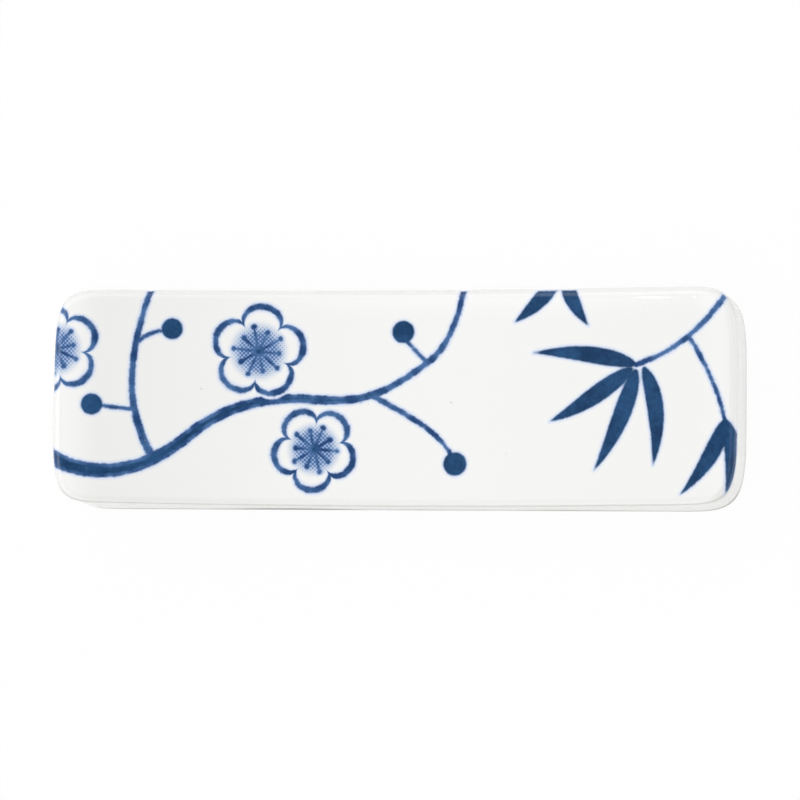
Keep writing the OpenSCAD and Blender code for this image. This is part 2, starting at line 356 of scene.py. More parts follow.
# Goes smoothly from a first value to a last one while the wire goes from low to high
def ramp(wire, low, high, first=0.0, last=1.0):
    node = addNode(wire.tree, "ShaderNodeMapRange", interpolation_type="SMOOTHSTEP", inputs={
        "Value": wire, "From Min": low, "From Max": high, "To Min": first, "To Max": last})
    return Wire(wire.tree, node.outputs["Result"])


def blend(factor, first, last):
    node = addNode(factor.tree, "ShaderNodeMix", {0: factor, 6: first, 7: last}, data_type="RGBA")
    return Wire(factor.tree, node.outputs[2])


def noiseAt(place, scale, detail=2.0, roughness=0.5):
    node = addNode(place.tree, "ShaderNodeTexNoise",
                   {"Vector": place, "Scale": scale, "Detail": detail, "Roughness": roughness})
    return Wire(place.tree, node.outputs["Fac"])


def splitOf(wire):
    node = addNode(wire.tree, "ShaderNodeSeparateXYZ", {0: wire})
    return [Wire(wire.tree, socket) for socket in node.outputs]


def millimetresOf(place):
    return [part * (1 / mm) for part in splitOf(place)]


def attributeOf(tree, name):
    return Wire(tree, addNode(tree, "ShaderNodeAttribute", {}, attribute_name=name).outputs["Fac"])


def objectPlace(tree):
    return Wire(tree, addNode(tree, "ShaderNodeTexCoord", {}).outputs["Object"])


# Makes an empty group with named sockets, and gives its input wires
def startGroup(name, inputs):
    tree = bpy.data.node_groups.new(name, "ShaderNodeTree")
    for label, (kind, value) in inputs.items():
        socket = tree.interface.new_socket(label, in_out="INPUT", socket_type=kind)
        if value is not None:
            socket.default_value = value
    entry = addNode(tree, "NodeGroupInput", {})
    return tree, {label: Wire(tree, entry.outputs[label]) for label in inputs}


def endGroup(tree, outputs):
    for label, (kind, wire) in outputs.items():
        tree.interface.new_socket(label, in_out="OUTPUT", socket_type=kind)
    addNode(tree, "NodeGroupOutput", {label: wire for label, (kind, wire) in outputs.items()})
    return tree


def groupIn(tree, group, inputs):
    node = addNode(tree, "ShaderNodeGroup", inputs, node_tree=group)
    return {socket.name: Wire(tree, socket) for socket in node.outputs}


def principledMaterial(name):
    material = bpy.data.materials.new(name)
    material.use_nodes = True
    tree = material.node_tree
    tree.nodes.clear()
    shader = addNode(tree, "ShaderNodeBsdfPrincipled", {})
    addNode(tree, "ShaderNodeOutputMaterial", {"Surface": Wire(tree, shader.outputs[0])})
    return material, tree, shader


def plug(shader, socket, wire):
    wire.tree.links.new(wire.socket, shader.inputs[socket])


# Turns a height in millimetres to a normal
def bumpFrom(height):
    node = addNode(height.tree, "ShaderNodeBump", {"Strength": 1.0, "Distance": mm, "Height": height})
    return Wire(height.tree, node.outputs[0])


# Display colour from 0 to 255, turned to the linear value that shaders use
def shade(red, green, blue):
    shares = np.array([red, green, blue]) / 255
    linear = np.where(shares <= 0.04045, shares / 12.92, ((shares + 0.055) / 1.055) ** 2.4)
    return (*linear.tolist(), 1.0)


pureWhite = shade(255, 255, 255)

# Skin of the glaze: slow waves from dipping, fine orange peel, pinholes and specks.
# Here and below, a scale is the number of noise cells in a metre.
surfaceLook = {
    "waveScale": 160.0,
    "peelScale": 1400.0,
    "pinhole": 0.002,         # depth of a speck in millimetres
    "speckScale": 800.0,      # of cells that can each hold a speck
    "speckRadius": 0.04,      # of the smallest, in cells
    "speckSpread": 0.05,      # added for the largest
    "speckLeast": 0.3,        # strength of the palest
    "glossScale": 500.0,
    "roughness": 0.03,        # where it shines most
    "roughnessSpread": 0.04,  # added where it shines least
    "index": 1.5,             # how strongly glaze bends light
}


def makeGlazeSurface():
    look = surfaceLook
    tree, at = startGroup("glazeSurface", {
        "Place": ("NodeSocketVector", None),
        "Waves": ("NodeSocketFloat", 0.02),          # heights in millimetres
        "Peel": ("NodeSocketFloat", 0.001),
        "Speck Share": ("NodeSocketFloat", 0.12),    # how many of the cells hold a speck
    })
    place = at["Place"]
    cell = addNode(tree, "ShaderNodeTexVoronoi", {"Vector": place, "Scale": look["speckScale"]})
    pick, size, tone = splitOf(Wire(tree, cell.outputs["Color"]))
    reach = size * look["speckSpread"] + look["speckRadius"]
    speck = (Wire(tree, cell.outputs["Distance"]) - reach).math("LESS_THAN", 0.0)
    speck = (speck * pick.math("LESS_THAN", at["Speck Share"])
             * (tone * (1 - look["speckLeast"]) + look["speckLeast"]))
    waves = noiseAt(place, look["waveScale"], detail=1.0) * at["Waves"]
    peel = noiseAt(place, look["peelScale"]) * at["Peel"]
    roughness = noiseAt(place, look["glossScale"]) * look["roughnessSpread"] + look["roughness"]
    return endGroup(tree, {
        "Height": ("NodeSocketFloat", waves + peel - speck * look["pinhole"]),
        "Speck": ("NodeSocketFloat", speck),
        "Roughness": ("NodeSocketFloat", roughness),
    })


# Grain of fired clay: fine grit in the height and a slow cloud in the tone
grainLook = {
    "gritScale": 5200.0,
    "gritRoughness": 0.65,
    "cloudScale": 320.0,
    "detail": 3.0,            # layers of noise in both
    "contrast": (0.35, 0.7),  # noise values that turn to 0 and 1
}


def makeClayGrain():
    look = grainLook
    tree, at = startGroup("clayGrain", {
        "Place": ("NodeSocketVector", None),
        "Grit": ("NodeSocketFloat", 0.03),           # height in millimetres
    })
    grit = noiseAt(at["Place"], look["gritScale"], look["detail"], look["gritRoughness"])
    cloud = noiseAt(at["Place"], look["cloudScale"], look["detail"])
    return endGroup(tree, {
        "Height": ("NodeSocketFloat", grit * at["Grit"]),
        "Grain": ("NodeSocketFloat", ramp(grit, *look["contrast"])),
        "Cloud": ("NodeSocketFloat", ramp(cloud, *look["contrast"])),
    })


# One plum blossom in plan, in millimetres. With n petals, their edge lies at the radius times
# (notch + (1 - notch) |cos(n a / 2)|^roundness) for an angle a, so they meet in n notches.
# Twice as many stamens stand at even angles, long and short by turns.
blossomLook = {
    "petals": 5,
    "notch": 0.7,
    "roundness": 0.55,
    "slant": 0.9,             # distance from a petal's edge for each step outwards
    "line": 0.5,              # width of the petal line
    "stamen": 0.22,           # width of a stamen
    "anther": 0.24,           # radius of the dot at its end
    "eye": 0.55,              # radius of the dot in the middle
    "longReach": 0.52,        # stamens, as shares of the radius
    "shortReach": 0.42,
    "washReach": (0.3, 0.66),         # the wash fades out between these shares of the radius
}


def makePlumBlossom():
    look = blossomLook
    tree, at = startGroup("plumBlossom", {
        "Place": ("NodeSocketVector", None),
        "Across": ("NodeSocketFloat", 0.0),
        "Along": ("NodeSocketFloat", 0.0),
        "Radius": ("NodeSocketFloat", 4.0),
        "Turn": ("NodeSocketFloat", 0.0),
    })
    x, y, z = millimetresOf(at["Place"])
    x = x - at["Across"]
    y = y - at["Along"]
    out = (x * x + y * y) ** 0.5
    angle = y.math("ARCTAN2", x) - at["Turn"]
    bulge = abs((angle * (look["petals"] / 2)).math("COSINE")) ** look["roundness"]
    edge = at["Radius"] * (bulge * (1 - look["notch"]) + look["notch"])
    petal = (out - edge) * look["slant"]
    petalLine = abs(petal + look["line"] / 2) - look["line"] / 2

    spoke = angle * (look["petals"] / math.pi)
    number = spoke.math("FLOOR")
    odd = number.math("FLOORED_MODULO", 2.0)
    reach = at["Radius"] * (odd * (look["shortReach"] - look["longReach"]) + look["longReach"])
    offset = (spoke - number - 0.5) * (math.pi / look["petals"])
    across = out * offset.math("SINE")
    beyond = out * offset.math("COSINE") - reach
    bar = (most(beyond, 0.0) ** 2.0 + across * across) ** 0.5 - look["stamen"] / 2
    anther = (beyond * beyond + across * across) ** 0.5 - look["anther"]
    stamens = least(bar, anther, out - look["eye"])
    wash = ramp(out.math("DIVIDE", at["Radius"]), *look["washReach"], 1.0, 0.0)
    return endGroup(tree, {
        "Line": ("NodeSocketFloat", least(petalLine, stamens)),
        "Petal": ("NodeSocketFloat", petal),
        "Wash": ("NodeSocketFloat", wash),
    })


# Transfer print in cobalt: lumpy edges, a pale bleed round them, mottled ink and a dotted wash.
# Distances are in millimetres, and below 0 inside the ink.
inkLook = {
    "lineDark": shade(34, 69, 120),
    "linePale": shade(74, 112, 162),
    "fillDark": shade(18, 54, 92),
    "fillPale": shade(38, 81, 126),
    "washPale": shade(136, 171, 218),
    "washDot": shade(46, 86, 146),
    "bleed": shade(190, 210, 246),
    "farAway": 9.0,           # a distance without ink
    "edge": 0.1,              # an edge fades from this far inside to this far outside
    "bleedReach": 0.46,
    "core": (-0.45, -0.15),   # a wide stroke turns to the fill's colour between these distances
    "coarseScale": 2200.0,
    "fineScale": 5200.0,
    "swellScale": 850.0,
    "lumps": 0.16,            # how far the coarse noise moves an edge,
    "fineLumps": 0.08,        # how far the fine one does,
    "fillLumps": 0.6,         # and the share of both on the edge of a fill
    "swell": 0.16,            # how far a stroke swells and thins
    "beadCoarse": 0.3,        # shares of coarse and fine noise added to the swelling, which
    "beadFine": 0.2,          # give the dark and pale beads of a line
    "beadContrast": (-0.26, 0.28),    # values that turn to dark and pale
    "cloudScale": 450.0,
    "mottleScale": 3000.0,
    "mottle": 0.3,            # share of the mottle in the clouds of a fill
    "cloudContrast": (0.3, 0.68),
    "dotPitch": 0.255,        # dots stand on a grid at 45 degrees
    "dotContrast": (-0.3, 0.35),
    "washDensity": 0.58,      # share of the wash that dots cover
    "washCoarse": 0.5,        # and what coarse noise and the swelling change in it
    "washSwell": 0.4,
    "veil": 0.85,             # strength of the pale tone under the dots
    "veilPower": 0.7,         # less than 1 holds it longer towards the wash's edge
    "blossomGap": 0.25,       # the branch stops this far from a petal
    "cut": 0.36,              # the print ends this far in from the outline, down on the shoulder
    "cutUp": (0.2, 0.6),      # and its bleed ends too where the skin faces up by less than this
}


def makeCobaltInk():
    look = inkLook
    tree, at = startGroup("cobaltInk", {
        "Place": ("NodeSocketVector", None),
        "Line": ("NodeSocketFloat", look["farAway"]),
        "Fill": ("NodeSocketFloat", look["farAway"]),
        "Wash": ("NodeSocketFloat", 0.0),
        "Ground": ("NodeSocketColor", pureWhite),
    })
    place = at["Place"]
    coarse = noiseAt(place, look["coarseScale"], detail=1.0) - 0.5
    fine = noiseAt(place, look["fineScale"], detail=1.0) - 0.5
    swell = noiseAt(place, look["swellScale"], detail=0.0) - 0.5
    lumps = coarse * look["lumps"] + fine * look["fineLumps"]
    line = at["Line"] + lumps + swell * look["swell"]
    fill = at["Fill"] + lumps * look["fillLumps"]
    lineCover = ramp(line, -look["edge"], look["edge"], 1.0, 0.0)
    fillCover = ramp(fill, -look["edge"], look["edge"], 1.0, 0.0)
    bleed = ramp(least(line, fill), -look["edge"], look["bleedReach"], 1.0, 0.0) ** 2.0

    # Two crossed waves run from -2 to 2. Half of them, plus the covered share of the wash
    # stretched to go from -1 to 1, lies above 0 inside a dot.
    x, y, z = splitOf(place)
    perPitch = 2 * math.pi / (look["dotPitch"] * math.sqrt(2) * mm)
    dotField = ((x + y) * perPitch).math("COSINE") + ((x - y) * perPitch).math("COSINE")
    density = coarse * look["washCoarse"] + swell * look["washSwell"] + look["washDensity"]
    dots = ramp(at["Wash"] * density * 2.0 - 1.0 + dotField * 0.5, *look["dotContrast"])
    veil = at["Wash"] ** look["veilPower"] * look["veil"]

    clouds = (noiseAt(place, look["cloudScale"]) * (1 - look["mottle"])
              + noiseAt(place, look["mottleScale"]) * look["mottle"])
    clouds = ramp(clouds, *look["cloudContrast"])
    beads = ramp(swell + coarse * look["beadCoarse"] + fine * look["beadFine"],
                 *look["beadContrast"])
    filled = blend(clouds, look["fillDark"], look["fillPale"])
    stroked = blend(ramp(line, *look["core"], 1.0, 0.0),
                    blend(beads, look["lineDark"], look["linePale"]), filled)
    colour = blend(bleed, at["Ground"], look["bleed"])
    colour = blend(veil, colour, look["washPale"])
    colour = blend(dots * veil, colour, look["washDot"])
    colour = blend(lineCover, colour, stroked)
    colour = blend(fillCover, colour, filled)
    return endGroup(tree, {"Color": ("NodeSocketColor", colour)})


glazeSurface = makeGlazeSurface()
clayGrain = makeClayGrain()
plumBlossom = makePlumBlossom()
cobaltInk = makeCobaltInk()
print("surface effects made")

# The spray that is printed on the top. Places are shares of half the length and half the width,
# from the middle. A stroke has a start, two pulls, an end and its width at start, middle and end.
sprayLook = {
    "line": 0.5,              # millimetres, which the widths of strokes are counted in
    "leaf": 1.5,              # which the widths of leaves are counted in
    "leafLean": 0.75,         # less than 1 moves the fullest place towards the stem
    "leafRoundness": 0.8,     # less than 1 rounds the leaf
    "bud": 1.0,               # radius that the sizes of buds are counted in
    "flow": 0.07,             # reach over which the ink of two leaves flows together
    "steps": 28,              # straight pieces that a curve is taken in
    "margin": 2.0,            # farther from the pieces' box, a stroke isn't measured
}
branchShares = [
    ((-1.04, -0.46), (-0.90, -0.80), (-0.74, -0.74), (-0.60, -0.36), (3, 2.5, 2)),
    ((-0.60, -0.36), (-0.50, -0.08), (-0.38, 0.02), (-0.22, -0.02), (2.1, 1.6, 1.6)),
    ((-0.22, -0.02), (-0.08, -0.06), (0, 0.10), (0.10, 0.34), (1.6, 1.1, 1.2)),
    ((0.10, 0.34), (0.16, 0.50), (0.19, 0.78), (0.20, 1.10), (1.2, 1, 0.9)),
    ((-0.71, -0.50), (-0.76, -0.18), (-0.80, 0.20), (-0.70, 1.10), (1.5, 1.1, 1)),
    ((-0.07, 0.02), (0.04, -0.16), (0.12, -0.30), (0.16, -0.50), (1.1, 0.84, 0.8)),
    ((-0.765, -0.12), (-0.79, -0.11), (-0.82, -0.10), (-0.85, -0.09), (0.8, 0.72, 0.68)),
    ((0.09, 0.32), (0.07, 0.38), (0.05, 0.45), (0.03, 0.52), (0.8, 0.72, 0.68)),
    ((-0.745, 0.50), (-0.73, 0.55), (-0.71, 0.58), (-0.68, 0.60), (0.8, 0.72, 0.68)),
]
stemShares = [
    ((0.99, 1.10), (0.93, 0.70), (0.84, 0.42), (0.70, 0.28), (1.1, 1, 0.84)),
    ((0.85, 0.52), (0.91, 0.24), (0.945, -0.05), (0.955, -0.25), (0.84, 0.72, 0.6)),
]
leafShares = [                # a start, two pulls, an end and the width
    ((0.70, 0.28), (0.62, 0.36), (0.52, 0.42), (0.40, 0.40), 1),
    ((0.69, 0.25), (0.62, 0.10), (0.54, -0.10), (0.45, -0.22), 1.06),
    ((0.70, 0.24), (0.68, -0.02), (0.64, -0.36), (0.58, -0.66), 1.06),
    ((0.72, 0.26), (0.76, 0.02), (0.77, -0.30), (0.75, -0.62), 1),
    ((0.955, -0.22), (0.94, -0.42), (0.90, -0.66), (0.83, -0.88), 0.96),
    ((0.955, -0.22), (0.985, -0.44), (0.985, -0.70), (0.955, -1), 0.94),
    ((0.47, 1.08), (0.44, 0.94), (0.40, 0.80), (0.345, 0.68), 0.94),
    ((0.49, 1.08), (0.50, 0.94), (0.52, 0.80), (0.56, 0.64), 0.88),
]
blossomShares = [             # centre, radius as a share of half the width, turn in degrees
    ((-0.40, 0.42), 0.44, 12),
    ((-0.235, -0.47), 0.40, 50),
    ((-0.985, 0.42), 0.42, 30),
]
budShares = [                 # centre and size
    ((0.175, -0.60), 1.05), ((-0.875, -0.08), 0.95), ((0.02, 0.60), 1), ((-0.65, 0.62), 0.95),
]


def onSlab(share):
    return np.array(share) * (halfLength, halfWidth)


# Least distance to a cubic curve, taken in straight steps, less half the width there
def strokeDistance(spots, pulls, halfWidthAt):
    t = np.linspace(0, 1, sprayLook["steps"] + 1)
    a, b, c, d = (onSlab(pull) for pull in pulls)
    s = t[:, None]
    line = (1 - s) ** 3 * a + 3 * (1 - s) ** 2 * s * b + 3 * (1 - s) * s ** 2 * c + s ** 3 * d
    half = halfWidthAt(t)
    best = np.full(len(spots), inkLook["farAway"])
    close = np.all((spots > line.min(0) - sprayLook["margin"])
                   & (spots < line.max(0) + sprayLook["margin"]), axis=1)
    near = spots[close]
    for k in range(sprayLook["steps"]):
        run = line[k + 1] - line[k]
        share = np.clip((near - line[k]) @ run / (run @ run), 0, 1)
        gap = np.linalg.norm(near - line[k] - share[:, None] * run, axis=1)
        best[close] = np.minimum(best[close], gap - half[k] - share * (half[k + 1] - half[k]))
    return best


# Half of a width that blends from start over middle to end as a quadratic curve does
def brushHalf(widths):
    first, middle, last = widths
    unit = sprayLook["line"] / 2
    return lambda t: unit * ((1 - t) ** 2 * first + 2 * (1 - t) * t * middle + t ** 2 * last)


# Half a sine over the leaf: the way along it and the sine are both raised to a power
def leafHalf(width):
    unit = sprayLook["leaf"] / 2 * width
    return lambda t: unit * (np.sin(math.pi * t ** sprayLook["leafLean"]).clip(0)
                             ** sprayLook["leafRoundness"])


# The least distance. Ink that flows makes it less where shapes nearly touch: it takes off the
# flow times the log of the sum of exp(-(distance - least) / flow).
def nearestOf(distances, flow=0.0):
    distances = np.array(list(distances))
    lowest = distances.min(axis=0)
    if not flow:
        return lowest
    return lowest - flow * np.log(np.exp((lowest - distances) / flow).sum(axis=0))


# Signed distances to the branches, to the stems, and to the leaves and buds, in millimetres
def sprayDistances(spots):
    branches = nearestOf(strokeDistance(spots, stroke[:4], brushHalf(stroke[4]))
                         for stroke in branchShares)
    stems = nearestOf(strokeDistance(spots, stroke[:4], brushHalf(stroke[4]))
                      for stroke in stemShares)
    leaves = nearestOf((strokeDistance(spots, leaf[:4], leafHalf(leaf[4])) for leaf in leafShares),
                       sprayLook["flow"])
    buds = nearestOf(np.linalg.norm(spots - onSlab(centre), axis=1) - size * sprayLook["bud"]
                     for centre, size in budShares)
    return branches, stems, nearestOf([leaves, buds])


# White glaze over the printed top and the walls, from its lower edge up. In its look, a ramp
# gives where it starts and ends and, unless they are 0 and 1, its two values. Facing ramps go by
# a part of the outward direction: -1 to 1 for left to right, front to back or down to up.
skinGrid = {
    "columns": 400, "rows": 128,
    "shoulderSteps": 8, "wallSteps": 8, "beadSteps": 4,
    "innerColumns": 50, "innerRows": 16, "innerSteps": 3,     # coarse against the clay
    "innerMargin": 1.4,       # its coarse part starts this far in, in millimetres
}
skinLook = {
    "white": shade(247, 247, 246),
    "speck": shade(150, 146, 136),
    "speckShare": 0.5,                # of the speck's colour
    "waves": (0.001, 0.02),           # at the outline and from 1 mm inside it, in millimetres
    "peel": (0.0003, 0.001),
    "slope": shade(243, 243, 241),    # painted shade where the top tilts towards the left or the right end
    "slopeFacing": (0.03, 0.22),      # left or right
    "slopeUp": (0.9, 0.97),
    "pooledAndPaintedLight": shade(251, 251, 250),   # painted light: a brighter white along the back of the top
    "paintedLightBack": (6.6, 9.2),         # millimetres from the middle
    "paintedLightRight": (-18.0, 0.0),
    "paintedLightUp": (0.97, 0.999),
    "shoulderShade": shade(215, 215, 210),     # painted shade round the shoulder and down the walls
    "shoulderShadeFront": (-0.6, -0.1, 1.0, 0.12),
    "shoulderShadeLeft": (-0.8, -0.3, 0.4, 0.12),
    "shoulderShadeBack": (0.05, 0.3, 0.12, 0.4),
    "backWall": (0.4, 0.8, 1.0, 0.0),         # keeps the back wall out of it
    "shoulderShadeWall": (0.1, 0.5, 0.35, 1.0),
    "shoulderShadeTop": (0.6, 0.98, 1.0, 0.0),
    "edgeShadeFront": (-0.12, -0.02, 0.3, 0.0),     # a faint painted shade line over the front shoulder
    "edgeShadeUp": (0.6, 0.9),
    "foot": shade(148, 145, 136),     # painted contact shade over its lower edge, which is also matt there
    "footReach": (0.5, 2.5),          # it deepens from the second height down to the first, in millimetres
    "footScale": 90.0,
    "footWander": 1.6,                # how far these heights go up and down
    "footRise": 1.1,                  # and how far up round one place,
    "footPlace": -11.0,               # this far from the middle
    "footWidth": 11.0,                # and within this distance of it
    "footLeast": 0.4,                 # its share away from the painted shoulder shade
    "footRoughness": 0.45,            # added where the painted foot shade is deepest
}


def glazedSkinPiece():
    outline = slabOutline(skinGrid)
    away = outline[1]
    innerGrid = {"columns": skinGrid["innerColumns"], "rows": skinGrid["innerRows"]}
    step = skinGrid["columns"] // skinGrid["innerColumns"]
    inner = shoulderRings(outline, slab["glaze"], skinGrid["innerSteps"])[::-1]
    bead = beadRings(outline, skinGrid["beadSteps"])
    shoulder = shoulderRings(outline, 0, skinGrid["shoulderSteps"])
    wall = ringsBetween(bead[-1], shoulder[0], skinGrid["wallSteps"])
    coarse = inner[0].copy()
    coarse[:, :2] -= away * skinGrid["innerMargin"]
    rings = [coarse[::step]] + inner + bead + wall + shoulder
    piece, places = loftedPiece("glazedSkin", rings, innerGrid, softTop(outline, slab["glaze"]),
                                skinGrid, softTop(outline, 0))
    spots = places[:, :2]
    branches, stems, fills = sprayDistances(spots)
    keepOnVertices(piece, "branchDistance", branches)
    keepOnVertices(piece, "stemDistance", stems)
    keepOnVertices(piece, "fillDistance", fills)
    keepOnVertices(piece, "inset", nearestEdge(spots, outline)[0])
    return piece


# Colour of the glaze before it is printed, with painted shade and light on it, and the share of the
# painted foot shade, which also makes the glaze matt
def glazeGround(place, right, back, up):
    look = skinLook
    x, y, height = millimetresOf(place)
    # Painted shade round the shoulder and on the walls, by the way the skin faces: most at the front,
    # less at the left and the back, least at the right
    shoulderShadeFacing = most(ramp(back, *look["shoulderShadeFront"]), ramp(right, *look["shoulderShadeLeft"]),
                    ramp(back, *look["shoulderShadeBack"]) * ramp(back, *look["backWall"]))
    shoulder = ramp(up, *look["shoulderShadeWall"]) * ramp(up, *look["shoulderShadeTop"]) * shoulderShadeFacing
    # A faint painted shade line where the top starts to round over at the front
    edgeShade = ramp(back, *look["edgeShadeFront"]) * ramp(up, *look["edgeShadeUp"])
    # Painted shade on the top where it tilts towards an end
    slopeShade = ramp(abs(right), *look["slopeFacing"]) * ramp(up, *look["slopeUp"])
    # Painted light along the back of the top, fading out towards the left end
    pooledAndPaintedLight = (ramp(y, *look["paintedLightBack"]) * ramp(x, *look["paintedLightRight"])
              * ramp(up, *look["paintedLightUp"]))
    # Painted contact shade, darker towards the foot; its upper edge wanders and rises round one place
    # left of the middle
    wander = (noiseAt(place, look["footScale"], detail=1.0) - 0.5) * -look["footWander"]
    rise = ramp(abs(x - look["footPlace"]), 0.0, look["footWidth"], -look["footRise"], 0.0)
    footShadeAndMatt = (ramp(height + (wander + rise), *look["footReach"], 1.0, 0.0) ** 2.0
                 * most(shoulderShadeFacing, look["footLeast"]))
    ground = blend(slopeShade, look["white"], look["slope"])
    ground = blend(pooledAndPaintedLight, ground, look["pooledAndPaintedLight"])
    ground = blend(most(shoulder, edgeShade), ground, look["shoulderShade"])
    return blend(footShadeAndMatt, ground, look["foot"]), footShadeAndMatt


# Distances to the petals and to the lines of the blossoms, and the strongest wash
def blossomsAt(tree, place):
    flowers = []
    for centre, size, turn in blossomShares:
        across, along = onSlab(centre).tolist()
        flowers.append(groupIn(tree, plumBlossom, {
            "Place": place, "Across": across, "Along": along,
            "Radius": halfWidth * size, "Turn": math.radians(turn)}))
    return (least(*(flower["Petal"] for flower in flowers)),
            least(*(flower["Line"] for flower in flowers)),
            most(*(flower["Wash"] for flower in flowers)))


def printedGlaze():
    material, tree, shader = principledMaterial("printedGlaze")
    place = objectPlace(tree)
    inset = attributeOf(tree, "inset")
    normal = Wire(tree, addNode(tree, "ShaderNodeNewGeometry", {}).outputs["Normal"])
    right, back, up = splitOf(normal)
    ground, footShadeAndMatt = glazeGround(place, right, back, up)
    petals, blossomLines, wash = blossomsAt(tree, place)
    cut = -(inset - inkLook["cut"]) + ramp(up, *inkLook["cutUp"], inkLook["bleedReach"], 0.0)
    branch = most(attributeOf(tree, "branchDistance"), -petals + inkLook["blossomGap"])
    line = most(least(branch, attributeOf(tree, "stemDistance"), blossomLines), cut)
    fill = most(attributeOf(tree, "fillDistance"), cut)
    ink = groupIn(tree, cobaltInk, {"Place": place, "Line": line, "Fill": fill, "Ground": ground,
                                    "Wash": wash * cut.math("LESS_THAN", 0.0)})
    surface = groupIn(tree, glazeSurface, {"Place": place,
                                           "Waves": ramp(inset, 0.0, 1.0, *skinLook["waves"]),
                                           "Peel": ramp(inset, 0.0, 1.0, *skinLook["peel"])})
    specks = surface["Speck"] * skinLook["speckShare"]
    plug(shader, "Base Color", blend(specks, ink["Color"], skinLook["speck"]))
    plug(shader, "Roughness", surface["Roughness"] + footShadeAndMatt * skinLook["footRoughness"])
    plug(shader, "Normal", bumpFrom(surface["Height"]))
    shader.inputs["IOR"].default_value = surfaceLook["index"]
    return material


glazedSkin = glazedSkinPiece()
glazedSkin.data.materials.append(printedGlaze())
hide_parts("glaze_coat", "plum_branch_print", "plum_blossom_print",
            "blossom_wash_print", "plum_bud_print", "bamboo_stem_print", "bamboo_leaf_print")

# Clay slab under the glaze, bare only on the foot and the first half millimetre of the walls
bodyGrid = {
    "columns": 160, "rows": 48,
    "bevelSteps": 4, "filletSteps": 4, "shoulderSteps": 4, "beadSteps": 4,
    "rimRings": 2,
}
clayLook = {
    "clay": shade(232, 226, 214),
    "pale": shade(243, 239, 230),
    "toasted": shade(216, 196, 166),  # thin line where bare clay meets the glaze
    "toastedShare": 0.8,
    "lineWidth": 0.16,                # millimetres
    "ragged": 0.08,                   # how far the grain moves the line
    "worn": shade(206, 200, 190),     # where the foot has rubbed on tables
    "wornShare": 0.5,
    "wornReach": (0.02, 0.10),        # wear fades out between these heights, in millimetres
    "roughness": 0.75,
}


def levelAt(height):
    return lambda spots: np.full(len(spots), height)


# The hollow's corner, from its ceiling to its wall, at a depth below the clay
def recessRings(outline, depth, steps):
    radius = foot["fillet"] - depth / 2
    return [ringAt(outline, foot["bevel"] + depth + radius * (1 - math.sin(turn)),
                   foot["recess"] - depth - radius * (1 - math.cos(turn)))
            for turn in np.linspace(0, math.pi / 2, steps + 1)]


# A quarter turn over both edges of the rim, from its flat to its walls
def rimRings(hollow, outer, steps):
    bevel = foot["bevel"]
    turns = np.linspace(0, math.pi / 2, steps + 1)
    inside = [ringAt(hollow, bevel * math.sin(turn), bevel * (1 - math.cos(turn)))
              for turn in turns[::-1]]
    outside = [ringAt(outer, wallInset(bevel, slab["glaze"]) + bevel * (1 - math.sin(turn)),
                      bevel * (1 - math.cos(turn))) for turn in turns]
    return inside, outside


def porcelainBodyPiece():
    outer, hollow = slabOutline(bodyGrid), recessOutline(bodyGrid)
    inside, outside = rimRings(hollow, outer, bodyGrid["bevelSteps"])
    rings = (recessRings(hollow, 0, bodyGrid["filletSteps"]) + inside
             + ringsBetween(inside[-1], outside[0], bodyGrid["rimRings"]) + outside
             + [ringAt(outer, wallInset(slab["glazeStop"], slab["glaze"]), slab["glazeStop"])]
             + shoulderRings(outer, slab["glaze"], bodyGrid["shoulderSteps"]))
    return loftedPiece("porcelainBody", rings, bodyGrid, levelAt(foot["recess"]),
                       bodyGrid, softTop(outer, slab["glaze"]))[0]


def bareClay():
    material, tree, shader = principledMaterial("bareClay")
    place = objectPlace(tree)
    grain = groupIn(tree, clayGrain, {"Place": place})
    x, y, height = millimetresOf(place)
    ragged = height + grain["Grain"] * clayLook["ragged"]
    line = ramp(ragged, slab["glazeStop"] - clayLook["lineWidth"], slab["glazeStop"])
    worn = ramp(ragged, *clayLook["wornReach"], clayLook["wornShare"], 0.0) * grain["Cloud"]
    colour = blend(grain["Cloud"], clayLook["clay"], clayLook["pale"])
    colour = blend(line * clayLook["toastedShare"], colour, clayLook["toasted"])
    plug(shader, "Base Color", blend(worn, colour, clayLook["worn"]))
    plug(shader, "Normal", bumpFrom(grain["Height"]))
    shader.inputs["Roughness"].default_value = clayLook["roughness"]
    return material


porcelainBody = porcelainBodyPiece()
porcelainBody.data.materials.append(bareClay())
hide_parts("porcelain_body")

# Glaze that lines the hollow below, with its own rounded edge above the rim
hollowLook = {
    "white": shade(244, 244, 241),
    "pooledAndPaintedLight": shade(226, 232, 232),   # thicker glaze in the corners looks cooler
    "poolReach": 1.6,                 # millimetres in from the hollow's wall
    "search": 4.5,                    # its edge is looked for this far in from the slab's edge
    "waves": 0.035,
    "speckCells": 0.2,                # share of the cells that hold a speck
    "speckShare": 0.6,                # of the speck's colour
}


def recessGlazePiece():
    hollow = recessOutline(bodyGrid)
    ceiling = recessRings(hollow, slab["glaze"], bodyGrid["filletSteps"])
    edge = []
    for turn in np.linspace(math.pi / 2, 0, bodyGrid["beadSteps"] + 1):
        height = slab["glazeStop"] + slab["glazeBead"] * (1 - math.cos(turn))
        edge.append(ringAt(hollow, foot["bevel"] + slab["glaze"] * math.sin(turn), height))
    rings = ceiling + edge + recessRings(hollow, 0, bodyGrid["filletSteps"])[::-1]
    lower = levelAt(foot["recess"] - slab["glaze"])
    upper = levelAt(foot["recess"])
    piece, places = loftedPiece("recessGlaze", rings, bodyGrid, lower, bodyGrid, upper)
    inset = nearestEdge(places[:, :2], hollow, hollowLook["search"])[0] - foot["bevel"]
    keepOnVertices(piece, "pooling", 1 - np.clip(inset / hollowLook["poolReach"], 0, 1))
    return piece


